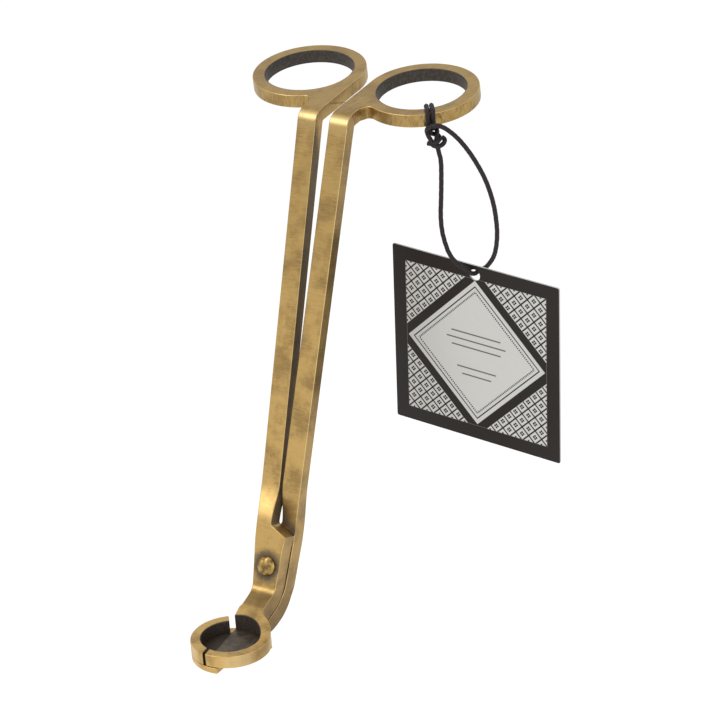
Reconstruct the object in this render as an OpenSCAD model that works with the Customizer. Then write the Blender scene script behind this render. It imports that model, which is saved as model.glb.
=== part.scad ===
// Wick trimmer with a catch dish, on the finger ring a corded swing tag.
// Z is the axis of the finger rings, Y runs from the finger rings' near side to their far side,
// and the origin is the point midway between the two finger holes, in the rings' middle plane.

/* [Finger rings] */
// Radius of the finger holes
hole_r = 11; // [10:0.5:12]
// Outer radius of the finger rings
ring_r = 14.25; // [13.5:0.25:15.5]
// Distance of each ring's centre from the middle plane
ring_x = 16.2; // [16:0.1:17]
// Distance from the corner of the bend to the ring's centre
ring_reach = 19.5; // [18:0.5:22]
// Radius between a ring's edge and its shank
ring_fillet = 2; // [1:0.25:3]

/* [Shanks] */
// Thickness of the rings and the shanks
bar_t = 3.4; // [3:0.1:3.6]
// Width of a shank
bar_w = 5.3; // [4.8:0.1:5.6]
// Distance from the pivot to the corner of the ring bend
shank_len = 112.4; // [90:0.1:130]
// Lean of the shanks from the rings' axis
lean = 24; // [15:1:35]
// Outer radius of the ring bend
bend_r = 4; // [3.8:0.1:6]
// Distance of a shank's middle line from the middle plane, at the pivot
shank_x = 2.7; // [2.7:0.05:3.2]
// How much further apart each shank's middle line gets per millimetre
shank_flare = 0.0165; // [0.01:0.0005:0.02]

/* [Pivot] */
// Thickness of the bosses and necks
boss_t = 4.2; // [3.8:0.1:4.4]
// Gap between the two levers
lap_gap = 0.3; // [0.3:0.05:0.5]
// Height of the joggle's lower end above the pivot
joggle_low = 9.5; // [9:0.5:11]
// Height of the joggle's upper end above the pivot
joggle_high = 21; // [19:0.5:26]
// Radius of the rivet's shaft
shaft_r = 1.5; // [1.25:0.05:1.75]
// Running clearance of the shaft in the front lever
shaft_gap = 0.05; // [0.03:0.01:0.1]
// Radius of the rivet's front head
head_r = 2.5; // [2.2:0.1:3]
// Height of the rivet's front head
head_h = 1.2; // [0.9:0.1:1.5]
// Height of the rivet's rear head
tail_h = 0.9; // [0.6:0.1:1.2]

/* [Neck] */
// Width of a neck
neck_w = 6.4; // [6:0.1:6.8]
// Lean of the neck from the shank
neck_angle = 51; // [45:1:55]
// Depth of the neck's upper corner below the pivot
neck_drop = 6.2; // [6:0.1:8]
// Length of the neck between its two corners, on its front face
neck_len = 14.1; // [13:0.1:15]

/* [Catch dish] */
// Lean of the dish from the shank
dish_angle = 70; // [68:1:74]
// Distance from the neck's lower corner to the dish's centre
dish_reach = 2.3; // [1.5:0.1:3]
// Outer radius of the dish
dish_r = 9.9; // [9.5:0.1:10.5]
// Inner radius of the dish's rim
bowl_r = 7.3; // [7:0.1:7.6]
// Height of the front lever's half rim
rim_h = 3.3; // [3:0.1:3.6]
// Thickness of the upper cutting plate
blade_t = 1; // [0.8:0.1:1.2]
// Thickness of the lower cutting plate
floor_t = 1.6; // [1.2:0.1:2]
// Gap between the two cutting plates
blade_gap = 0.15; // [0.12:0.01:0.2]

/* [Cord and tag] */
// Diameter of the cord
cord_d = 1.3; // [1:0.1:1.5]
// Angle of the hitch around the right ring, from its near side
hitch_angle = 40; // [35:1:45]
// Side of the square tag
tag_side = 48.3; // [45:0.1:52]
// Thickness of the tag
tag_t = 0.5; // [0.4:0.1:0.6]
// Radius of the tag's hole
tag_hole_r = 1.5; // [1.4:0.1:1.7]
// Distance of the hole's centre below the tag's upper edge
tag_hole_drop = 2.6; // [2.6:0.1:4]

/* [Hidden] */
$fn = 96;
far = 60;

brass = [0.66, 0.52, 0.26];
dark_brass = [0.30, 0.24, 0.19];
cord_black = [0.13, 0.10, 0.12];
card_grey = [0.86, 0.86, 0.85];

// Heights of the lever faces at the pivot, along the shank's front normal from the shank's front face
lap_mid = -(bar_t / 2 + 0.2);
front_face = lap_mid + lap_gap / 2 + boss_t;
front_back = lap_mid + lap_gap / 2;
rear_face = lap_mid - lap_gap / 2;
rear_back = lap_mid - lap_gap / 2 - boss_t;

// The front lever's outline in side view: [lean, distance of the face from the pivot's origin]
neck_top = [-front_face, -neck_drop];
dish_corner = neck_top + neck_len * along(neck_angle);
dish_mid = dish_corner + dish_reach * along(dish_angle);
neck_c = neck_top * face_dir(neck_angle);
dish_c = dish_corner * face_dir(dish_angle);
FRONT_TOP = [[0, front_face], [neck_angle, neck_c], [dish_angle, dish_c]];
FRONT_UNDER = [[0, front_back], [neck_angle, neck_c - boss_t], [dish_angle, dish_c - rim_h]];
REAR_TOP = [[0, rear_face], [neck_angle, neck_c - boss_t - lap_gap], [dish_angle, dish_c - rim_h - blade_gap]];
REAR_UNDER = [[0, rear_back], [neck_angle, neck_c - 2 * boss_t - lap_gap],
              [dish_angle, dish_c - rim_h - blade_gap - floor_t]];
// Radii of the two corners of each outline
TOP_R = [3, 8];
FRONT_UNDER_R = [7, 11.5];
REAR_TOP_R = [7.3, 11.8];
REAR_UNDER_R = [11.5, 16];

// Where the two halves of the dish part, across the dish at its near and far side
part_far_x = -neck_w / 2;
part_near_x = -1;
rim_gap = 0.8;
notch_angle = 36;
floor_edge_x = 2.1;
// Relief under the front lever's left side, which dips as the jaws open
relief_x = -0.8;
relief_rise = 0.2;

ring_bottom_y = -(shank_len * sin(lean) + ring_reach);
pivot_z = bar_t / 2 - shank_len * cos(lean);
bend_angle = 90 - lean;
bend_len = bend_r * tan(bend_angle / 2);
bend_start = shank_len - bend_len;
stub_len = 2;
// How far surfaces cross or stay apart that would otherwise only touch
hair = 0.01;
// Height of the lower cutting plate's upper face in the dish's frame
floor_z = -rim_h - blade_gap - 0.05;
top_x = shank_mid(bend_start);
boss_out_x = 4.35;
neck_end = 17;

// The hitch on the right ring
bar_mid_r = (hole_r + ring_r) / 2;
bar_point = [ring_x + bar_mid_r * sin(hitch_angle), -bar_mid_r * cos(hitch_angle), 0];
hitch_step = 1.1;
hitch_r = 3.1;
knot_at = [25.8, -11, -5];
tag_hole_at = [34.8, -13.5, -39.4];
tag_turn = -3.1;
tag_tilt = 2.5;
tag_lean = -4;

// The loop's route, from the knot down to the tag's hole, through it and back up to the knot
LOOP = [[26, -11.2, -5.5], [26.7, -11.6, -7.5], [27.3, -11.9, -10.5], [27.1, -12.3, -15.5], [26.7, -12.8, -21],
        [26.4, -13.1, -24.5], [26.6, -13.6, -28], [27.4, -14.2, -31], [28.7, -14.6, -34.2], [30.8, -14.8, -36.5],
        [32.9, -14.8, -37.5], [34.3, -14.5, -38.5], [34.8, -13.5, -39], [35.4, -12.6, -38.6],
        [37.1, -12.5, -36.7], [39.7, -12.6, -33.2], [41.4, -12.7, -29.3], [41.9, -12.8, -24.7],
        [41.5, -12.7, -19], [40, -12.5, -13.5], [37.7, -12.3, -9], [35, -12.2, -5.2], [32.3, -12.2, -2.5],
        [29.4, -12.4, -0.4], [27.1, -12.8, -0.3], [25.2, -12.6, -1.4], [24.6, -12, -3], [25.1, -11.4, -4.3]];
ring_step = 3;

// Direction down a face that leans by a, in side view, and the direction out of its front
function along(a) = [-sin(a), -cos(a)];
function face_dir(a) = [-cos(a), sin(a)];
// Where the faces [lean, distance] p and q meet
function meet(p, q) = let (d = sin(q[0] - p[0]))
    [(p[1] * sin(q[0]) - q[1] * sin(p[0])) / -d, (p[1] * cos(q[0]) - q[1] * cos(p[0])) / -d];
function shank_mid(z) = shank_x + shank_flare * z;
function ease(t) = (1 - cos(180 * t)) / 2;

// Everything that is square to the shanks: the pivot is at 0, 0, 0 and the shank's front face at y = 0
module shank_frame() {
    translate([0, ring_bottom_y, pivot_z]) rotate([-lean, 0, 0]) children();
}

// The dish's own frame: its rim's top is the plane z = 0, and its far side is towards the neck
module dish_frame() {
    shank_frame() translate([0, dish_mid[0], dish_mid[1]]) rotate([90 - dish_angle, 0, 0]) children();
}

module neck_frame() {
    shank_frame() translate([0, neck_top[0], neck_top[1]]) rotate([90 - neck_angle, 0, 0]) children();
}

// The rounded corner of the faces p and q
function corner(p, q, r, steps = 12) = let (mid = meet([p[0], p[1] + r], [q[0], q[1] + r]))
    [for (i = [0:steps]) mid - r * face_dir(p[0] + (q[0] - p[0]) * i / steps)];
function flipped(v) = [for (i = [len(v) - 1:-1:0]) v[i]];
// The ring bend, from the ring to the shank, at a depth below the front face
function bend(depth, steps = 12) = [for (i = [steps:-1:0]) let (a = bend_angle * i / steps)
    [bend_r, bend_start] + (bend_r - depth) * [-cos(a), sin(a)]];
// The step between the shank and the boss, whose face is the given distance from the pivot's origin
function joggle(face, depth, steps = 14) = [for (i = [steps:-1:0]) let (t = i / steps)
    [depth * ease(t) - face * (1 - ease(t)), joggle_low + t * (joggle_high - joggle_low)]];
// One side of a lever in side view, from the ring's far end to the jaw's tip
function side_line(faces, radii, depth) = concat(
    [bend(depth)[0] + (ring_reach + ring_r) * [sin(bend_angle), cos(bend_angle)]],
    bend(depth), joggle(faces[0][1], depth),
    corner(faces[0], faces[1], radii[0]), corner(faces[1], faces[2], radii[1]),
    [faces[2][1] * face_dir(dish_angle)
        + (dish_mid * along(dish_angle) + dish_r + 2) * along(dish_angle)]);

// The front lever's outline seen from the front, from the ring bend down to the neck's root
module front_outline() {
    steps = 10;
    half = bar_w / 2;
    polygon(concat(
        [[-top_x - half, shank_len + stub_len], [-top_x - half, bend_start]],
        [for (i = [0:steps]) let (t = i / steps)
            [-(shank_mid(joggle_high) + half) * (1 - ease(t)) - boss_out_x * ease(t),
             joggle_high - t * (joggle_high - joggle_low)]],
        [[-4.3, 6], [-3.85, 0], [-3.5, -5.5], [-neck_w / 2, -8], [-neck_w / 2, -neck_end],
         [neck_w / 2, -neck_end], [neck_w / 2, -7], [3.45, -3], [3.7, 0.5], [4, 4.8], [4.45, 7.4]],
        [for (a = [0:30:60]) [4.05, 7.6] + 0.45 * [cos(a), sin(a)]],
        [for (a = [240:-20:180]) [half - shank_mid(10.9), 10.9] + 0.9 * [1 + cos(a), sin(a)]],
        [[-shank_mid(joggle_high) + half, joggle_high], [-top_x + half, bend_start],
         [-top_x + half, shank_len + stub_len]]));
}

// The outline of both jaws seen along the dish's axis, with the neck's root
module jaw_outline() {
    r = 2;
    fillet_x = neck_w / 2 + r - hair;
    fillet_y = sqrt(pow(dish_r + r - hair, 2) - pow(fillet_x, 2));
    circle(dish_r);
    translate([-neck_w / 2 + hair, 0]) square([neck_w - 2 * hair, 13]);
    for (s = [-1, 1]) difference() {
        polygon([[0, 0], [s * fillet_x, fillet_y] * dish_r / (dish_r + r),
                 [s * neck_w / 2, fillet_y], [0, fillet_y]]);
        translate([s * fillet_x, fillet_y]) circle(r);
    }
}

// The outline of the left finger ring with the web that runs to the bend
module ring_outline() {
    in_x = -top_x + bar_w / 2 - hair;
    out_x = -top_x - bar_w / 2 + hair;
    web_y = bend_len - ring_reach;
    fillet_x = out_x - ring_fillet + hair;
    fillet_y = -sqrt(pow(ring_r + ring_fillet - hair, 2) - pow(fillet_x + ring_x, 2));
    touch = [-ring_x, 0] + [fillet_x + ring_x, fillet_y] * ring_r / (ring_r + ring_fillet);
    difference() {
        union() {
            translate([-ring_x, 0]) circle(ring_r);
            polygon([[in_x, web_y], [out_x, web_y], [out_x, fillet_y], [-ring_x, 0],
                     [-ring_x + ring_r - 2 * hair, -0.5]]);
            difference() {
                polygon([[out_x + 1, fillet_y], [out_x - hair / 2, fillet_y], touch, [-ring_x, 0],
                         [out_x + 1, 0]]);
                translate([fillet_x, fillet_y]) circle(ring_fillet);
            }
        }
        translate([-ring_x, 0]) circle(hole_r);
    }
}

// A lever before its bowl, bore and parting line are cut: its side view crossed with its outlines
// seen from the front of the shank, from above the ring and from above the dish
module lever(top, under, top_r, under_r, flip, jaw_cut_x) {
    intersection() {
        shank_frame() translate([-far, 0, 0]) rotate([90, 0, 90]) linear_extrude(2 * far)
            polygon(concat(side_line(top, top_r, 0), flipped(side_line(under, under_r, bar_t))));
        union() {
            mirror([flip, 0, 0]) {
                shank_frame() translate([0, far, 0]) rotate([90, 0, 0])
                    linear_extrude(2 * far) front_outline();
                translate([0, 0, -bar_t]) linear_extrude(2 * bar_t) ring_outline();
            }
            dish_frame() translate([0, 0, -12]) linear_extrude(20) difference() {
                jaw_outline();
                translate([jaw_cut_x, -far]) square([far, far + 6]);
            }
        }
    }
}

// What is right of the line where the two halves of the dish part, moved by dx, seen from above the dish
module right_side(dx) {
    slope = (part_near_x - part_far_x) / (dish_r + bowl_r);
    polygon([[part_near_x + dx + slope * (far - dish_r), -far], [2 * far, -far],
             [2 * far, far], [part_far_x + dx - slope * (far - bowl_r), far]]);
}

// What the front lever's left underside gives way by as the jaws open
module relief() {
    wedge = [[relief_x, -hair], [-far / 8, -hair], [-far / 8, (far / 8 + relief_x) * relief_rise]];
    neck_frame() translate([0, 9, -boss_t]) rotate([90, 0, 0]) linear_extrude(neck_len + 12)
        polygon(wedge);
    dish_frame() translate([0, 9, -rim_h]) rotate([90, 0, 0]) linear_extrude(20) polygon(wedge);
}

module front_lever() {
    color(brass) difference() {
        lever(FRONT_TOP, FRONT_UNDER, TOP_R, FRONT_UNDER_R, 0, far);
        dish_frame() translate([0, 0, -12]) linear_extrude(24) {
            circle(bowl_r);
            difference() {
                circle(dish_r + 1);
                right_side(0);
            }
        }
        relief();
        shank_frame() rotate([90, 0, 0]) cylinder(r = shaft_r + shaft_gap, h = 6 * boss_t, center = true);
    }
}

// A thin plate inside the front half rim, with the upper cutting edge
module upper_cutting_plate() {
    color(dark_brass) difference() {
        dish_frame() translate([0, 0, -rim_h]) linear_extrude(blade_t) intersection() {
            circle(bowl_r);
            right_side(0);
        }
        relief();
    }
}

module rear_lever() {
    color(brass) difference() {
        lever(REAR_TOP, REAR_UNDER, REAR_TOP_R, REAR_UNDER_R, 1, floor_edge_x);
        dish_frame() translate([0, 0, floor_z]) cylinder(r = dish_r + 0.1, h = 24);
        shank_frame() rotate([90, 0, 0]) cylinder(r = shaft_r, h = 6 * boss_t, center = true);
    }
}

// The left half of the rim, which stands on the lower cutting plate
module rear_half_rim() {
    color(brass) dish_frame() translate([0, 0, floor_z]) linear_extrude(-floor_z) difference() {
        circle(dish_r);
        circle(bowl_r);
        right_side(-rim_gap);
        polygon([[0, 0], far * [-sin(notch_angle), cos(notch_angle)], [far, far]]);
    }
}

// A dome of the given rim radius and height, standing on z = 0
module dome(r, h) {
    ball_r = (r * r + h * h) / (2 * h);
    intersection() {
        translate([0, 0, h - ball_r]) sphere(ball_r);
        cylinder(r = r, h = h + 1);
    }
}

module pivot_rivet() {
    color(brass) shank_frame() {
        translate([0, -front_face, 0]) rotate([90, 0, 0]) translate([0, 0, 0.05]) dome(head_r, head_h);
        translate([0, -rear_back, 0]) rotate([-90, 0, 0]) dome(head_r, tail_h);
        translate([0, -rear_back + 0.2, 0]) rotate([90, 0, 0])
            cylinder(r = shaft_r, h = front_face - rear_back + 0.45);
    }
}

// A thin ring round the shaft, on the rear boss
module pivot_washer() {
    color(dark_brass) shank_frame() translate([0, -rear_face, 0]) rotate([90, 0, 0]) difference() {
        cylinder(r = head_r + 0.5, h = lap_gap - 0.06);
        translate([0, 0, -1]) cylinder(r = shaft_r + shaft_gap, h = 3);
    }
}

// Two turns of the cord round the right ring
module cord_hitch() {
    color(cord_black) translate(bar_point) rotate([0, 0, hitch_angle]) for (s = [-1, 1])
        translate([s * hitch_step, 0, 0]) rotate([0, 90, 0])
            rotate_extrude() translate([hitch_r, 0]) circle(cord_d / 2, $fn = 32);
}

module cord_knot() {
    color(cord_black) translate(knot_at) {
        sphere(1.7, $fn = 48);
        rotate([60, 25, 0]) rotate_extrude() translate([1.5, 0]) circle(0.8, $fn = 32);
    }
}

// Smooth curve through the points p, at t from 0 to the number of stretches
function curve(p, t) = let (n = len(p) - 1, i = min(n - 1, floor(t)), u = t - i,
    a = p[max(0, i - 1)], b = p[i], c = p[i + 1], d = p[min(n, i + 2)])
    0.5 * (2 * b + (c - a) * u + (2 * a - 5 * b + 4 * c - d) * u * u + (3 * b - a - 3 * c + d) * u * u * u);

function unit(v) = v / norm(v);

// A ring of 8 points round the place c, square to the direction d
function ring_at(c, d, r) = let (side = unit(cross(d, [0.2, 1, 0.1])), up = cross(side, d))
    [for (k = [0:7]) c + r * (cos(45 * k) * side + sin(45 * k) * up)];

module tube(route, d, rings) {
    n = len(route) - 1;
    places = [for (i = [0:rings]) curve(route, n * i / rings)];
    points = [for (i = [0:rings])
        each ring_at(places[i], unit(places[min(rings, i + 1)] - places[max(0, i - 1)]), d / 2)];
    faces = concat(
        [[for (k = [0:7]) k]],
        [for (i = [0:rings - 1], k = [0:7]) let (m = (k + 1) % 8) [8 * i + k, 8 * i + 8 + k, 8 * i + 8 + m]],
        [for (i = [0:rings - 1], k = [0:7]) let (m = (k + 1) % 8) [8 * i + k, 8 * i + 8 + m, 8 * i + m]],
        [[for (k = [7:-1:0]) 8 * rings + k]]);
    polyhedron(points, faces);
}

module cord_loop() {
    color(cord_black) tube(LOOP, cord_d, 60);
}

// A square card that hangs by a hole near its upper edge
module swing_tag() {
    color(card_grey) translate(tag_hole_at) rotate([0, tag_tilt, tag_turn]) rotate([90 + tag_lean, 0, 0])
        translate([0, 0, -tag_t / 2]) difference() {
            translate([-tag_side / 2, tag_hole_drop - tag_side, 0]) cube([tag_side, tag_side, tag_t]);
            translate([0, 0, -1]) cylinder(r = tag_hole_r, h = tag_t + 2);
        }
}

front_lever();
upper_cutting_plate();
rear_lever();
rear_half_rim();
pivot_rivet();
pivot_washer();
cord_hitch();
cord_knot();
cord_loop();
swing_tag();
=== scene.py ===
"""Looks of a candle wick trimmer: antique brass levers, a knotted cord and a printed swing tag."""

import math

import bmesh
import bpy
from mathutils import Matrix, Vector, noise


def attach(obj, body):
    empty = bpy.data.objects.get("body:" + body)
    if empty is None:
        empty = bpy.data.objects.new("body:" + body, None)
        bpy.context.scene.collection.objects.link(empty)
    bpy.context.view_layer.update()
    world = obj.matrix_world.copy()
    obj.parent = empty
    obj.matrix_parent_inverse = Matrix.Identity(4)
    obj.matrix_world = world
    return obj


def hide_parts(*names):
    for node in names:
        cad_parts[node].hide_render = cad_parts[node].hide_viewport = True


MM = 0.001

# Camera: place in metres, right and down as directions, lens and sensor in millimetres
CAMERA_AT = Vector((0.4610, -0.6762, 0.3908))
CAMERA_RIGHT = Vector((0.84817, 0.51899, -0.10613))
CAMERA_DOWN = Vector((0.18202, -0.47367, -0.86169))
LENS, SENSOR = 184.05, 36.0
CLIP_NEAR, CLIP_FAR = 0.05, 20

# Design of the levers, in millimetres and radians
LEAN = math.radians(24)
RING_X, HOLE_R = 16.2, 11.0
PIVOT = Vector((0, -65.217, -100.983))
SHANK_OUT = Vector((0, -math.cos(LEAN), math.sin(LEAN)))
SHANK_UP = Vector((0, math.sin(LEAN), math.cos(LEAN)))
DISH_AT = Vector((0, -85.891, -109.139))
DISH_TILT = math.radians(4)
DISH_UP = Vector((0, math.sin(DISH_TILT), math.cos(DISH_TILT)))
DISH_FAR = Vector((0, math.cos(DISH_TILT), -math.sin(DISH_TILT)))
DISH_R, BOWL_R = 9.9, 7.3
FRONT_FACE, REAR_BACK = 2.45, -6.25
HEAD_R, HEAD_H, TAIL_H, SHAFT_R = 2.5, 1.2, 0.9, 1.5
HEAD_EASE, HEAD_LIFT, HEAD_TOP_R = 0.15, 0.12, 0.08
HEAD_DENTS, DENT_SCALE = 0.03, 0.9
SHAFT_INTO_HEAD, HEAD_CLEAR = 0.3, 0.05

# Rounding of the edges, in millimetres and radians
MERGE_WITHIN = 0.04
FLAT_WITHIN, EDGE_OVER = math.radians(0.6), math.radians(32)
EDGE_STEPS, FLAT_WEIGHT = 3, 80
LEVER_EDGE, RIM_EDGE, PLATE_EDGE, WASHER_EDGE = 0.25, 0.3, 0.08, 0.04

# Cord and tag, in millimetres
CORD_R = 0.58
CORD_STEP, CORD_SIDES = 0.14, 20
STRANDS, BRAID_PITCH = 5, 2.1
HITCH_ANGLE = math.radians(40)
HITCH_AT = Vector((24.315, -9.671, 0))
HITCH_ALONG = Vector((math.cos(HITCH_ANGLE), math.sin(HITCH_ANGLE), 0))
HITCH_OUT = Vector((math.sin(HITCH_ANGLE), -math.cos(HITCH_ANGLE), 0))
HITCH_HALF = Vector((2.32, 2.4))
HITCH_STEP = 1.15
HITCH_FIRST, HITCH_LAST, HITCH_POINTS = -35, 620, 44
HITCH_SQUARENESS = 2 / 5
KNOT_AT = Vector((25.8, -11.0, -5.0))
TAG_HOLE_AT = Vector((34.8, -13.5, -39.4))
TAG_TURN, TAG_TILT, TAG_LEAN = math.radians(-3.1), math.radians(2.5), math.radians(-4)
TAG_SIDE, TAG_T, TAG_HOLE_R, TAG_DROP = 48.3, 0.5, 1.5, 2.6
TAG_CORNER, CORNER_STEPS, HOLE_STEPS = 0.5, 5, 48

# The tag's print, in parts of its side: distances from the middle of the card
PRINT_SOFT = 0.0012
BORDER = 0.423
BAND, PINSTRIPE, DOTS = (0.414, 0.482), (0.375, 0.384), (0.342, 0.355)
CORNERS_FROM = (0.482, 0.484)
DOT_PITCH, LATTICE_PITCH = 0.0165, 0.078
DOT_EDGE, LATTICE_EDGE, PETAL_EDGE = (0.32, 0.24), (0.41, 0.44), (0.115, 0.09)
PETAL_OFF = 0.11
RULES = ((0.10, 0.15), (0.06, 0.18), (0.02, 0.15), (-0.10, 0.12), (-0.14, 0.09))
RULE_T, RULE_END, RULE_INK = 0.004, 0.003, 0.8

# The loop's route from the knot down to the tag's hole, through it and back up, in millimetres
LOOP = [
    (26, -11.2, -5.5), (26.7, -11.6, -7.5), (27.3, -11.9, -10.5), (27.1, -12.3, -15.5),
    (26.7, -12.8, -21), (26.4, -13.1, -24.5), (26.6, -13.6, -28), (27.4, -14.2, -31),
    (28.7, -14.6, -34.2), (30.8, -14.8, -36.5), (32.9, -14.8, -37.5), (34.3, -14.5, -38.5),
    (34.8, -13.5, -39), (35.4, -12.6, -38.6), (37.7, -12.5, -37), (40.1, -12.6, -33.6),
    (41.4, -12.7, -29.3), (41.9, -12.8, -24.7), (41.5, -12.7, -19), (40, -12.5, -13.5),
    (37.7, -12.3, -9), (35, -12.2, -5.2), (32.3, -12.2, -2.5), (29.4, -12.6, -0.5),
    (27.1, -13.0, -0.3), (25.2, -12.9, -1.4), (24.6, -12.4, -3),
]


# ---------------------------------------------------------------- scene basics

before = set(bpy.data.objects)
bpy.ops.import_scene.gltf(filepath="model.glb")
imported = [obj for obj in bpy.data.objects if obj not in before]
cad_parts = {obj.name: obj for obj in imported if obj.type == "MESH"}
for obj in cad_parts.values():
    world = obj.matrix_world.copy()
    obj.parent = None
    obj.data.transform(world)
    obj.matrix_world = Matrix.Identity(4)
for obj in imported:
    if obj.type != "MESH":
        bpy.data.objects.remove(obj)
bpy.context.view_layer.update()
scene = bpy.context.scene


def add_object(name, data):
    ob = bpy.data.objects.new(name, data)
    scene.collection.objects.link(ob)
    return ob


def make_camera():
    data = bpy.data.cameras.new("camera")
    data.lens, data.sensor_width, data.sensor_fit = LENS, SENSOR, "HORIZONTAL"
    data.clip_start, data.clip_end = CLIP_NEAR, CLIP_FAR
    ob = add_object("camera", data)
    back = CAMERA_RIGHT.cross(-CAMERA_DOWN).normalized()
    turn = Matrix((CAMERA_RIGHT, -CAMERA_DOWN, back)).transposed()
    ob.matrix_world = Matrix.Translation(CAMERA_AT) @ turn.to_4x4()
    scene.camera = ob


# ---------------------------------------------------------------- cord

def smooth_curve(points, per_span=14):
    """Points along the smooth curve through the given points."""
    p = [Vector(q) for q in points]
    out = []
    for i in range(len(p) - 1):
        a, b, c, d = p[max(0, i - 1)], p[i], p[i + 1], p[min(len(p) - 1, i + 2)]
        for k in range(per_span):
            u = k / per_span
            out.append(0.5 * (2 * b + (c - a) * u + (2 * a - 5 * b + 4 * c - d) * u ** 2
                              + (3 * b - a - 3 * c + d) * u ** 3))
    return out + [p[-1]]


def evenly(points, step):
    """The same line with points an even step apart."""
    out, left = [points[0]], step
    for a, b in zip(points, points[1:]):
        span = (b - a).length
        while span >= left:
            a = a + (b - a) * (left / span)
            span -= left
            left = step
            out.append(a)
        left -= span
    return out


def by_hitch(along, out, up):
    """A point given along the ring's bar, outwards from it and upwards from it."""
    return HITCH_AT + HITCH_ALONG * along + HITCH_OUT * out + Vector((0, 0, up))


def cord_route():
    """Cut end, knot, two turns round the bar, knot, loop through the tag, knot, cut end."""
    def by_knot(along, out, up):
        return KNOT_AT + HITCH_ALONG * along + HITCH_OUT * out + Vector((0, 0, up))

    route = [by_knot(-2.1, 1.0, -0.3), by_knot(-1.2, 1.5, -0.4), by_knot(-0.1, 1.9, -0.1),
             by_knot(0.9, 1.2, 0.4), by_knot(0.9, -0.2, 0.6), by_knot(0.0, -0.8, 0.9),
             by_knot(-0.8, -0.3, 1.6)]
    for i in range(HITCH_POINTS + 1):
        turn = math.radians(HITCH_FIRST + (HITCH_LAST - HITCH_FIRST) * i / HITCH_POINTS)
        c, s = math.cos(turn), math.sin(turn)
        route.append(by_hitch(HITCH_STEP * (2 * i / HITCH_POINTS - 1),
                              HITCH_HALF.x * math.copysign(abs(c) ** HITCH_SQUARENESS, c),
                              HITCH_HALF.y * math.copysign(abs(s) ** HITCH_SQUARENESS, s)))
    route += [by_knot(0.7, -0.6, 1.6), by_knot(0.4, 0.5, 1.2), by_knot(0.2, 1.1, 0.3)]
    route += [Vector(q) for q in LOOP]
    route += [by_knot(-1.3, 1.1, 0.6), by_knot(-0.9, 1.8, -0.7), by_knot(0.4, 2.0, -1.1),
              by_knot(1.6, 1.5, -0.9), by_knot(2.2, 0.6, -0.3), by_knot(1.5, 0.2, 0.4)]
    return route


def tube(name, line, radius, sides):
    """A tube along the line with the surface of a fine braid, and closed ends."""
    verts, faces = [], []
    side = Vector((0.2, 1, 0.1))
    walked = 0.0
    for i, p in enumerate(line):
        ahead = (line[min(len(line) - 1, i + 1)] - line[max(0, i - 1)]).normalized()
        side = (side - ahead * side.dot(ahead)).normalized()
        up = ahead.cross(side)
        if i:
            walked += (p - line[i - 1]).length
        for k in range(sides):
            a = 2 * math.pi * k / sides
            turn = 2 * math.pi * walked / BRAID_PITCH
            over = max(math.cos(STRANDS * a + turn), math.cos(STRANDS * a - turn))
            r = radius * (0.93 + 0.09 * over)
            verts.append((p + r * (math.cos(a) * side + math.sin(a) * up)) * MM)
    for i in range(len(line) - 1):
        for k in range(sides):
            m = (k + 1) % sides
            faces.append((i * sides + k, i * sides + m, (i + 1) * sides + m, (i + 1) * sides + k))
    faces.append(tuple(reversed(range(sides))))
    faces.append(tuple((len(line) - 1) * sides + k for k in range(sides)))
    mesh = bpy.data.meshes.new(name)
    mesh.from_pydata(verts, [], faces)
    for f in mesh.polygons:
        f.use_smooth = len(f.vertices) == 4
    return add_object(name, mesh)


def make_cord():
    line = evenly(smooth_curve(cord_route()), CORD_STEP)
    cord = tube("elastic_cord", line, CORD_R, CORD_SIDES)
    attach(cord, "cord")
    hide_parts("cord_hitch", "cord_knot", "cord_loop")
    return cord


# ---------------------------------------------------------------- material helper

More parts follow.
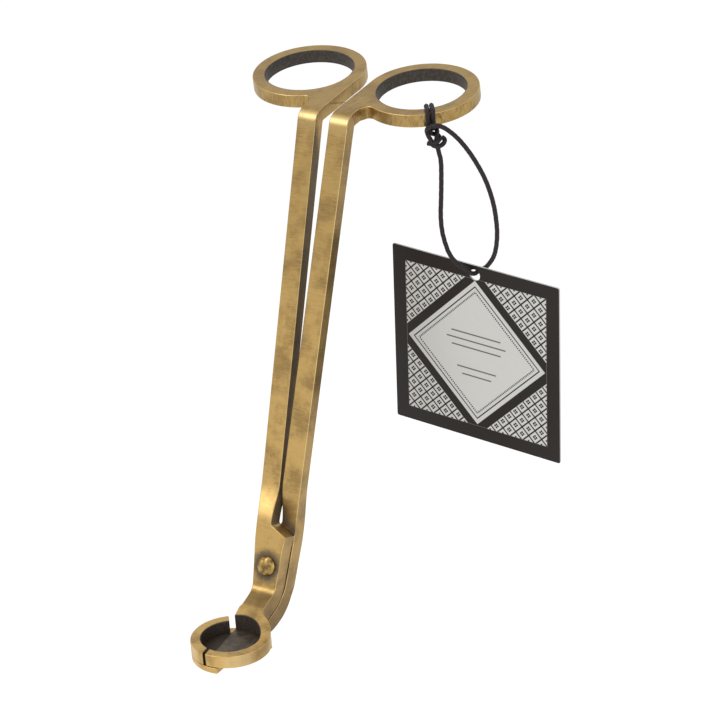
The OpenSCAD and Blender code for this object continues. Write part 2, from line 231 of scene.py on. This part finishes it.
class Shade:
    """Strings together the nodes of one material."""

    def __init__(self, name):
        self.material = bpy.data.materials.new(name)
        self.material.use_nodes = True
        self.tree = self.material.node_tree
        self.shader = self.tree.nodes["Principled BSDF"]
        self.coords = self.tree.nodes.new("ShaderNodeTexCoord")

    def put(self, value, socket):
        if isinstance(value, bpy.types.NodeSocket):
            self.tree.links.new(value, socket)
        else:
            socket.default_value = value

    def math(self, operation, a, b=0.0, c=0.0):
        n = self.tree.nodes.new("ShaderNodeMath")
        n.operation = operation
        for value, socket in zip((a, b, c), n.inputs):
            self.put(value, socket)
        return n.outputs[0]

    def add(self, a, b):
        return self.math("ADD", a, b)

    def times(self, a, b):
        return self.math("MULTIPLY", a, b)

    def size(self, a):
        return self.math("ABSOLUTE", a)

    def most(self, a, b):
        return self.math("MAXIMUM", a, b)

    def dot(self, v, w):
        n = self.tree.nodes.new("ShaderNodeVectorMath")
        n.operation = "DOT_PRODUCT"
        self.put(v, n.inputs[0])
        self.put(w, n.inputs[1])
        return n.outputs["Value"]

    def scaled(self, v, k):
        n = self.tree.nodes.new("ShaderNodeVectorMath")
        n.operation = "SCALE"
        self.put(v, n.inputs[0])
        self.put(k, n.inputs["Scale"])
        return n.outputs["Vector"]

    def join(self, x, y, z):
        n = self.tree.nodes.new("ShaderNodeCombineXYZ")
        for value, socket in zip((x, y, z), n.inputs):
            self.put(value, socket)
        return n.outputs[0]

    def ramp(self, x, start, end, low=0.0, high=1.0):
        """low below start, high above end, and a smooth step between them."""
        n = self.tree.nodes.new("ShaderNodeMapRange")
        n.interpolation_type = "SMOOTHSTEP"
        flip = start > end
        ends = (end, start, high, low) if flip else (start, end, low, high)
        for value, socket in zip((x, *ends), n.inputs):
            self.put(value, socket)
        return n.outputs["Result"]

    def noise(self, v, scale, detail=2.0, roughness=0.5):
        n = self.tree.nodes.new("ShaderNodeTexNoise")
        for key, value in (("Vector", v), ("Scale", scale), ("Detail", detail),
                           ("Roughness", roughness)):
            self.put(value, n.inputs[key])
        return n.outputs[0]

    def mix(self, factor, a, b):
        n = self.tree.nodes.new("ShaderNodeMix")
        n.data_type = "RGBA"
        self.put(factor, n.inputs[0])
        self.put(a, n.inputs[6])
        self.put(b, n.inputs[7])
        return n.outputs[2]

    def bump(self, height, strength, distance):
        n = self.tree.nodes.new("ShaderNodeBump")
        self.put(strength, n.inputs["Strength"])
        self.put(distance * MM, n.inputs["Distance"])
        self.put(height, n.inputs["Height"])
        self.put(n.outputs[0], self.shader.inputs["Normal"])

    def set(self, **values):
        for key, value in values.items():
            self.put(value, self.shader.inputs[key.replace("_", " ")])
        return self.material


def colour(r, g, b):
    """A colour given as 0 to 255 on a screen."""
    def linear(c):
        c /= 255
        return c / 12.92 if c <= 0.04045 else ((c + 0.055) / 1.055) ** 2.4
    return (linear(r), linear(g), linear(b), 1)


UPPER_BRASS, LOWER_BRASS = colour(164, 136, 83), colour(196, 162, 100)
CLOUDED_BRASS, NECK_PATINA_AND_SHADE = colour(134, 108, 66), colour(98, 78, 48)
# painted shade: darker tone for the outer sides of the shanks
OUTER_SIDE_SHADE = colour(104, 86, 58)
BRIGHT_LINE, DARK_LINE = colour(196, 166, 112), colour(88, 69, 42)
# brighter edge tone: rubbed wear with painted highlight
WORN_EDGE_AND_HIGHLIGHT = colour(214, 188, 136)
# dark colours for patina, spots and painted shade alike
DARK_GRIME_AND_SHADE, PALE_GRIME_AND_SHADE = colour(60, 56, 54), colour(82, 74, 65)
DARK_PLATE, PALE_PLATE = colour(76, 70, 64), colour(104, 93, 80)
PLATE_SCRATCH = colour(138, 124, 100)
RIVET_DENT, RIVET_TOP = colour(116, 92, 54), colour(178, 148, 90)
CORD_DARK, CORD_PALE = colour(16, 11, 13), colour(40, 29, 33)
PAPER_DARK, PAPER_PALE = colour(178, 177, 172), colour(188, 187, 183)
CARD_BACK, INK = colour(224, 216, 202), colour(24, 17, 14)
FLOOR_WHITE = (0.95, 0.95, 0.95, 1)


# ---------------------------------------------------------------- brass

def brass_parts(s):
    """Coordinates and masks that every brass finish uses."""
    p = s.scaled(s.coords.outputs["Object"], 1 / MM)
    normal = s.coords.outputs["Normal"]
    at = {"p": p, "x": s.dot(p, (1, 0, 0)), "y": s.dot(p, (0, 1, 0)), "z": s.dot(p, (0, 0, 1)),
          "nx": s.dot(normal, (1, 0, 0)), "nz": s.dot(normal, (0, 0, 1)),
          "out": s.dot(normal, SHANK_OUT), "up": s.dot(p, SHANK_UP)}
    at["ring"] = s.ramp(at["y"], -22, -19)
    side = s.math("MULTIPLY", at["nx"], s.math("SIGN", at["x"]))
    # painted shade on the shank sides that face the other lever, found from their normals
    at["inner_side"] = s.times(s.ramp(side, -0.55, -0.9), s.ramp(at["ring"], 1, 0))
    # painted shade on the shank sides that face outwards, found from their normals
    at["outer_side"] = s.times(s.ramp(side, 0.55, 0.9), s.ramp(at["ring"], 1, 0))
    return at


def brushing(s, at):
    """Fine lines across the shanks, and slanting lines on the rings."""
    across = s.noise(s.join(s.times(at["x"], 0.22), s.times(at["up"], 9.0), s.times(at["y"], 0.2)),
                     1.0, 5.0, 0.75)
    slant = s.add(s.times(at["x"], 0.5), s.times(at["y"], 0.86))
    level = s.add(s.times(at["x"], 0.86), s.times(at["y"], -0.5))
    diagonal = s.noise(s.join(s.times(level, 8.0), s.times(slant, 0.3), s.times(at["z"], 0.6)),
                       1.0, 4.0, 0.6)
    return s.add(s.times(across, s.ramp(at["ring"], 1, 0)), s.times(diagonal, at["ring"]))


def edge_wear_and_highlight(s, at):
    """1 on the small bevels along the levers' edges, which are tinted brighter: rubbed wear
    together with painted highlight.
    """
    def slanted(n):
        n = s.size(n)
        return s.times(s.ramp(n, 0.22, 0.5), s.ramp(n, 0.96, 0.85))
    return s.add(s.times(slanted(at["nx"]), s.ramp(at["ring"], 1, 0)),
                 s.times(slanted(at["nz"]), at["ring"]))


def patina_and_shade_masks(s, at):
    """Dark patina in the finger holes and inside the dish, painted shade round the rivet and above
    the boss (with patina there), and patina with painted shade on the neck.
    """
    away = s.math("SUBTRACT", s.size(at["x"]), RING_X)
    from_ring = s.math("SQRT", s.add(s.times(away, away), s.times(at["y"], at["y"])))
    hole = s.times(s.ramp(from_ring, HOLE_R + 0.4, HOLE_R + 0.12), at["ring"])

    dish_z = s.math("SUBTRACT", s.dot(at["p"], DISH_UP), DISH_AT.dot(DISH_UP))
    dish_y = s.math("SUBTRACT", s.dot(at["p"], DISH_FAR), DISH_AT.dot(DISH_FAR))
    from_dish = s.math("SQRT", s.add(s.times(at["x"], at["x"]), s.times(dish_y, dish_y)))
    dish = s.times(s.ramp(from_dish, BOWL_R + 0.3, BOWL_R + 0.1), s.ramp(dish_z, -4.8, -4.4))

    # painted shade: a ragged dark ring round the rivet, where a shaded groove is not modelled
    up = s.math("SUBTRACT", at["up"], PIVOT.dot(SHANK_UP))
    from_pivot = s.math("SQRT", s.add(s.times(at["x"], at["x"]), s.times(up, up)))
    ragged = s.add(from_pivot, s.times(s.noise(at["p"], 1.4), 0.9))
    rivet = s.times(s.ramp(ragged, 5.6, 3.3), s.ramp(at["out"], 0.5, 0.9))
    # darker neck below the pivot: patina with painted shade
    neck = s.times(s.ramp(up, -5.0, -8.5), s.ramp(from_dish, DISH_R, DISH_R + 1.5))
    # painted shade with patina: a dark band above the boss, where one lever passes behind the
    # other's boss
    above_boss = s.add(s.math("SUBTRACT", up, 10.3), s.times(at["x"], 0.6))
    joggle = s.times(s.times(s.ramp(at["x"], -0.2, 0.4), s.ramp(at["out"], 0.4, 0.8)),
                     s.times(s.ramp(above_boss, 0.1, 0.4), s.ramp(above_boss, 5.0, 1.2)))
    return hole, dish, s.most(rivet, joggle), neck


def antique_brass():
    s = Shade("antique_brass")
    at = brass_parts(s)
    lines = brushing(s, at)
    wear_and_highlight = edge_wear_and_highlight(s, at)
    hole, dish, rivet, neck = patina_and_shade_masks(s, at)
    cloud = s.noise(at["p"], 0.16, 4.0, 0.6)
    speckle = s.noise(at["p"], 1.6, 3.0, 0.7)

    lower = s.ramp(at["up"], 0, -95)
    tone = s.mix(lower, UPPER_BRASS, LOWER_BRASS)
    tone = s.mix(s.ramp(cloud, 0.40, 0.66, 0.0, 0.8), tone, CLOUDED_BRASS)
    tone = s.mix(s.ramp(lines, 0.42, 0.72, 0.0, 0.55), tone, BRIGHT_LINE)
    tone = s.mix(s.ramp(lines, 0.46, 0.28, 0.0, 0.55), tone, DARK_LINE)
    # painted shade: outer sides of the shanks darker
    tone = s.mix(s.times(at["outer_side"], 0.35), tone, OUTER_SIDE_SHADE)
    # neck darker: patina with painted shade
    tone = s.mix(s.times(neck, 0.55), tone, NECK_PATINA_AND_SHADE)
    # bevels brighter: rubbed wear with painted highlight
    tone = s.mix(s.times(wear_and_highlight, 0.5), tone, WORN_EDGE_AND_HIGHLIGHT)
    # dark patina in the finger holes and dish; painted shade round the rivet, above the boss (with
    # patina) and on the shank sides facing the other lever
    dark = s.most(s.most(hole, s.times(dish, 0.97)), s.most(s.times(rivet, 0.85),
                                                           s.times(at["inner_side"], 0.72)))
    spots = s.times(s.ramp(speckle, 0.60, 0.72), s.ramp(cloud, 0.46, 0.60, 0.0, 0.5))
    dark = s.most(dark, spots)
    # one colour for patina, spots and painted shade
    grime_and_shade = s.mix(s.ramp(speckle, 0.35, 0.7), DARK_GRIME_AND_SHADE, PALE_GRIME_AND_SHADE)
    tone = s.mix(dark, tone, grime_and_shade)
    s.bump(s.add(s.times(lines, 0.5), s.times(speckle, 0.8)), 0.3, 0.05)
    rough = s.add(s.add(0.30, s.times(lines, 0.16)), s.times(dark, 0.22))
    return s.set(Base_Color=tone, Metallic=s.ramp(dark, 0, 1, 1.0, 0.75), Roughness=rough)


def dark_brass():
    s = Shade("dark_brass")
    at = brass_parts(s)
    cloud = s.noise(at["p"], 0.5, 4.0, 0.6)
    scratches = s.noise(s.join(s.times(at["x"], 6.0), s.times(at["y"], 0.5), at["z"]), 1.0, 3.0)
    tone = s.mix(s.ramp(cloud, 0.35, 0.65), DARK_PLATE, PALE_PLATE)
    tone = s.mix(s.ramp(scratches, 0.55, 0.72, 0.0, 0.5), tone, PLATE_SCRATCH)
    s.bump(s.add(cloud, scratches), 0.3, 0.05)
    return s.set(Base_Color=tone, Metallic=0.85, Roughness=s.add(0.32, s.times(cloud, 0.25)))


def hammered_brass():
    s = Shade("rivet_brass")
    at = brass_parts(s)
    dents = s.noise(at["p"], 0.75, 2.0, 0.5)
    tone = s.mix(s.ramp(dents, 0.34, 0.6), RIVET_DENT, RIVET_TOP)
    s.bump(dents, 0.4, 0.08)
    return s.set(Base_Color=tone, Metallic=1.0, Roughness=s.add(0.24, s.times(dents, 0.2)))


# ---------------------------------------------------------------- cord and card finishes

def cord_finish():
    s = Shade("cord")
    p = s.scaled(s.coords.outputs["Object"], 1 / MM)
    fibre = s.noise(p, 7.0, 3.0, 0.7)
    tone = s.mix(s.ramp(fibre, 0.38, 0.66), CORD_DARK, CORD_PALE)
    s.bump(fibre, 0.6, 0.05)
    return s.set(Base_Color=tone, Roughness=0.55, Specular_IOR_Level=0.3)


def card_print(s, u, v):
    """Darkness of the tag's generic print: border, lattice corners, banded diamond and rules."""
    square = s.most(s.size(u), s.size(v))
    diamond = s.add(s.size(u), s.size(v))

    def between(x, low, high):
        return s.times(s.ramp(x, low - PRINT_SOFT, low + PRINT_SOFT),
                       s.ramp(x, high + PRINT_SOFT, high - PRINT_SOFT))

    def cell(x, pitch):
        """Place within a repeating cell of this pitch, -0.5 to 0.5."""
        part = s.math("FRACT", s.math("DIVIDE", s.add(x, 10 * pitch), pitch))
        return s.math("SUBTRACT", part, 0.5)

    border = s.ramp(square, BORDER - PRINT_SOFT, BORDER + PRINT_SOFT)
    band = between(diamond, *BAND)
    pinstripe = between(diamond, *PINSTRIPE)
    dots_at = s.size(cell(s.add(u, s.times(v, -1)), DOT_PITCH))
    other_dots_at = s.size(cell(s.add(u, v), DOT_PITCH))
    same_sign = s.math("GREATER_THAN", s.times(u, v), 0.0)
    dot_place = s.add(s.times(dots_at, same_sign),
                      s.times(other_dots_at, s.math("SUBTRACT", 1.0, same_sign)))
    dots = s.times(between(diamond, *DOTS), s.ramp(dot_place, *DOT_EDGE))

    p = cell(s.add(u, v), LATTICE_PITCH)
    q = cell(s.add(u, s.times(v, -1)), LATTICE_PITCH)
    lattice = s.ramp(s.most(s.size(p), s.size(q)), *LATTICE_EDGE)
    p_off, q_off = (s.math("SUBTRACT", s.size(c), PETAL_OFF) for c in (p, q))
    petals = s.math("SQRT", s.add(s.times(p_off, p_off), s.times(q_off, q_off)))
    corners = s.times(s.ramp(diamond, *CORNERS_FROM),
                      s.most(lattice, s.ramp(petals, *PETAL_EDGE)))

    rules = 0.0
    for height, half in RULES:
        line = s.times(between(v, height - RULE_T, height + RULE_T),
                       s.ramp(s.size(u), half, half - RULE_END))
        rules = s.most(rules, s.times(line, RULE_INK))

    inside = s.ramp(square, BORDER + PRINT_SOFT, BORDER - PRINT_SOFT)
    inner = s.most(s.most(band, pinstripe), s.most(s.most(dots, corners), rules))
    return s.most(border, s.times(inner, inside))


def card_finish():
    s = Shade("card")
    p = s.scaled(s.coords.outputs["Object"], 1 / MM)
    normal = s.dot(s.coords.outputs["Normal"], (0, 0, 1))
    u = s.times(s.dot(p, (1, 0, 0)), 1 / TAG_SIDE)
    v = s.times(s.add(s.dot(p, (0, 1, 0)), TAG_SIDE / 2 - TAG_DROP), 1 / TAG_SIDE)
    ink = s.times(card_print(s, u, v), s.ramp(normal, 0.5, 0.7))
    fibre = s.noise(p, 2.5, 4.0, 0.7)
    paper = s.mix(fibre, PAPER_DARK, PAPER_PALE)
    paper = s.mix(s.ramp(normal, -0.7, -0.5, 0.6, 0.0), paper, CARD_BACK)
    tone = s.mix(ink, paper, INK)
    s.bump(fibre, 0.12, 0.03)
    return s.set(Base_Color=tone, Roughness=s.ramp(ink, 0, 1, 0.62, 0.36),
                 Specular_IOR_Level=s.ramp(ink, 0, 1, 0.5, 0.25))


# ---------------------------------------------------------------- pieces

def skin(node, material, bevel, body):
    """A node's shape with its edges rounded, in place of the node."""
    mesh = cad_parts[node].data.copy()
    bm = bmesh.new()
    bm.from_mesh(mesh)
    bmesh.ops.remove_doubles(bm, verts=bm.verts, dist=MERGE_WITHIN * MM)
    bmesh.ops.dissolve_limit(bm, angle_limit=FLAT_WITHIN, verts=bm.verts, edges=bm.edges)
    bm.to_mesh(mesh)
    bm.free()
    mesh.materials.clear()
    mesh.materials.append(material)
    for f in mesh.polygons:
        f.use_smooth = True
    ob = add_object(node + "_skin", mesh)
    mod = ob.modifiers.new("edges", "BEVEL")
    mod.width, mod.segments, mod.limit_method = bevel * MM, EDGE_STEPS, "ANGLE"
    mod.angle_limit, mod.use_clamp_overlap, mod.harden_normals = EDGE_OVER, False, True
    mod.miter_outer = "MITER_ARC"
    flat = ob.modifiers.new("flat_faces", "WEIGHTED_NORMAL")
    flat.mode, flat.weight, flat.keep_sharp = "FACE_AREA", FLAT_WEIGHT, False
    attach(ob, body)
    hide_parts(node)


def lathe(profile, place, segments=56, dents=0.0):
    """Vertices and faces of a (radius, height) profile turned round the place's Z, ends closed."""
    verts, faces = [], []
    for r, h in profile:
        for k in range(segments):
            a = 2 * math.pi * k / segments
            p = Vector((r * math.cos(a), r * math.sin(a), h))
            if dents:
                p *= 1 + dents * noise.noise(p * DENT_SCALE)
            verts.append(place @ p * MM)
    rows = len(profile)
    for i in range(rows - 1):
        for k in range(segments):
            m = (k + 1) % segments
            faces.append((i * segments + k, i * segments + m,
                          (i + 1) * segments + m, (i + 1) * segments + k))
    faces.append(tuple(reversed(range(segments))))
    faces.append(tuple((rows - 1) * segments + k for k in range(segments)))
    return verts, faces


def dome_profile(r, h, base, rows=9):
    """A dome of rim radius r and height h on the height base, with a small rounded rim."""
    rim = [(r - HEAD_EASE, base), (r, base + HEAD_LIFT)]
    cap = [(r * math.cos(math.pi / 2 * i / rows),
            base + HEAD_EASE + (h - HEAD_EASE) * math.sin(math.pi / 2 * i / rows))
           for i in range(1, rows)]
    return rim + cap + [(HEAD_TOP_R, base + h)]


def make_rivet(material):
    """A hammered head in front, a smaller one behind and the shaft between them."""
    turn = SHANK_OUT.to_track_quat("Z", "Y").to_matrix().to_4x4()
    front = Matrix.Translation(PIVOT) @ turn
    back = front @ Matrix.Rotation(math.pi, 4, "X")
    verts, faces = [], []
    for part, place, dents in (
            (dome_profile(HEAD_R, HEAD_H, FRONT_FACE + HEAD_CLEAR), front, HEAD_DENTS),
            (dome_profile(HEAD_R, TAIL_H, -REAR_BACK), back, HEAD_DENTS),
            ([(SHAFT_R, REAR_BACK - SHAFT_INTO_HEAD),
              (SHAFT_R, FRONT_FACE + SHAFT_INTO_HEAD)], front, 0.0)):
        v, f = lathe(part, place, dents=dents)
        faces += [tuple(i + len(verts) for i in face) for face in f]
        verts += v
    mesh = bpy.data.meshes.new("pivot_rivet_skin")
    mesh.from_pydata(verts, [], faces)
    mesh.materials.append(material)
    for f in mesh.polygons:
        f.use_smooth = True
    ob = add_object("pivot_rivet_skin", mesh)
    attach(ob, "rear_lever")
    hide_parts("pivot_rivet")


def make_tag(material):
    """The card, in its own frame: the punched hole at the origin, the printed side at +Z."""
    bm = bmesh.new()
    left, right = -TAG_SIDE / 2, TAG_SIDE / 2
    low, high = TAG_DROP - TAG_SIDE, TAG_DROP
    near, far = left + TAG_CORNER, right - TAG_CORNER
    under, over = low + TAG_CORNER, high - TAG_CORNER
    outline = []
    for cx, cy, start in ((far, over, 0), (near, over, 90), (near, under, 180), (far, under, 270)):
        for i in range(CORNER_STEPS + 1):
            a = math.radians(start + 90 * i / CORNER_STEPS)
            outline.append((cx + TAG_CORNER * math.cos(a), cy + TAG_CORNER * math.sin(a)))
    hole = [(TAG_HOLE_R * math.cos(2 * math.pi * i / HOLE_STEPS),
             TAG_HOLE_R * math.sin(2 * math.pi * i / HOLE_STEPS)) for i in range(HOLE_STEPS)]
    edges = []
    for loop in (outline, hole):
        ring = [bm.verts.new((x * MM, y * MM, -TAG_T / 2 * MM)) for x, y in loop]
        edges += [bm.edges.new((ring[i], ring[(i + 1) % len(ring)])) for i in range(len(ring))]
    bmesh.ops.triangle_fill(bm, use_beauty=True, use_dissolve=False, edges=edges)
    made = bmesh.ops.extrude_face_region(bm, geom=bm.faces[:])
    for v in made["geom"]:
        if isinstance(v, bmesh.types.BMVert):
            v.co.z += TAG_T * MM
    bmesh.ops.recalc_face_normals(bm, faces=bm.faces)
    mesh = bpy.data.meshes.new("swing_tag_skin")
    bm.to_mesh(mesh)
    bm.free()
    mesh.materials.append(material)
    ob = add_object("swing_tag_skin", mesh)
    ob.matrix_world = (Matrix.Translation(TAG_HOLE_AT * MM) @ Matrix.Rotation(TAG_TURN, 4, "Z")
                       @ Matrix.Rotation(TAG_TILT, 4, "Y")
                       @ Matrix.Rotation(math.pi / 2 + TAG_LEAN, 4, "X"))
    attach(ob, "tag")
    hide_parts("swing_tag")


# ---------------------------------------------------------------- stage

def area_light(name, at, aim, size, power):
    data = bpy.data.lights.new(name, "AREA")
    data.shape, data.size, data.energy = "DISK", size, power
    ob = add_object(name, data)
    ob.location = at
    ob.rotation_mode = "QUATERNION"
    ob.rotation_quaternion = (Vector(aim) - Vector(at)).to_track_quat("-Z", "Y")


def make_stage():
    size, height, sky = 6.0, -0.28, 0.95
    mesh = bpy.data.meshes.new("floor")
    mesh.from_pydata([(-size, -size, height), (size, -size, height), (size, size, height),
                      (-size, size, height)], [], [(0, 1, 2, 3)])
    s = Shade("floor")
    mesh.materials.append(s.set(Base_Color=FLOOR_WHITE, Roughness=0.9))
    add_object("floor", mesh)
    world = bpy.data.worlds.new("studio")
    world.use_nodes = True
    background = world.node_tree.nodes["Background"]
    background.inputs["Color"].default_value = (1, 1, 1, 1)
    background.inputs["Strength"].default_value = sky
    scene.world = world
    aim = (0, -0.04, -0.05)
    area_light("key", (-0.5, -0.7, 0.9), aim, 0.6, 5)
    area_light("fill", (0.9, -0.6, 0.2), aim, 0.8, 2)


# ---------------------------------------------------------------- build

scene.view_settings.view_transform = "Standard"
make_camera()
cord = make_cord()
cord.data.materials.append(cord_finish())
brass, dull = antique_brass(), dark_brass()
skin("front_lever", brass, LEVER_EDGE, "front_lever")
skin("upper_cutting_plate", dull, PLATE_EDGE, "front_lever")
skin("rear_lever", brass, LEVER_EDGE, "rear_lever")
skin("rear_half_rim", brass, RIM_EDGE, "rear_lever")
skin("pivot_washer", dull, WASHER_EDGE, "rear_lever")
make_rivet(hammered_brass())
make_tag(card_finish())
make_stage()
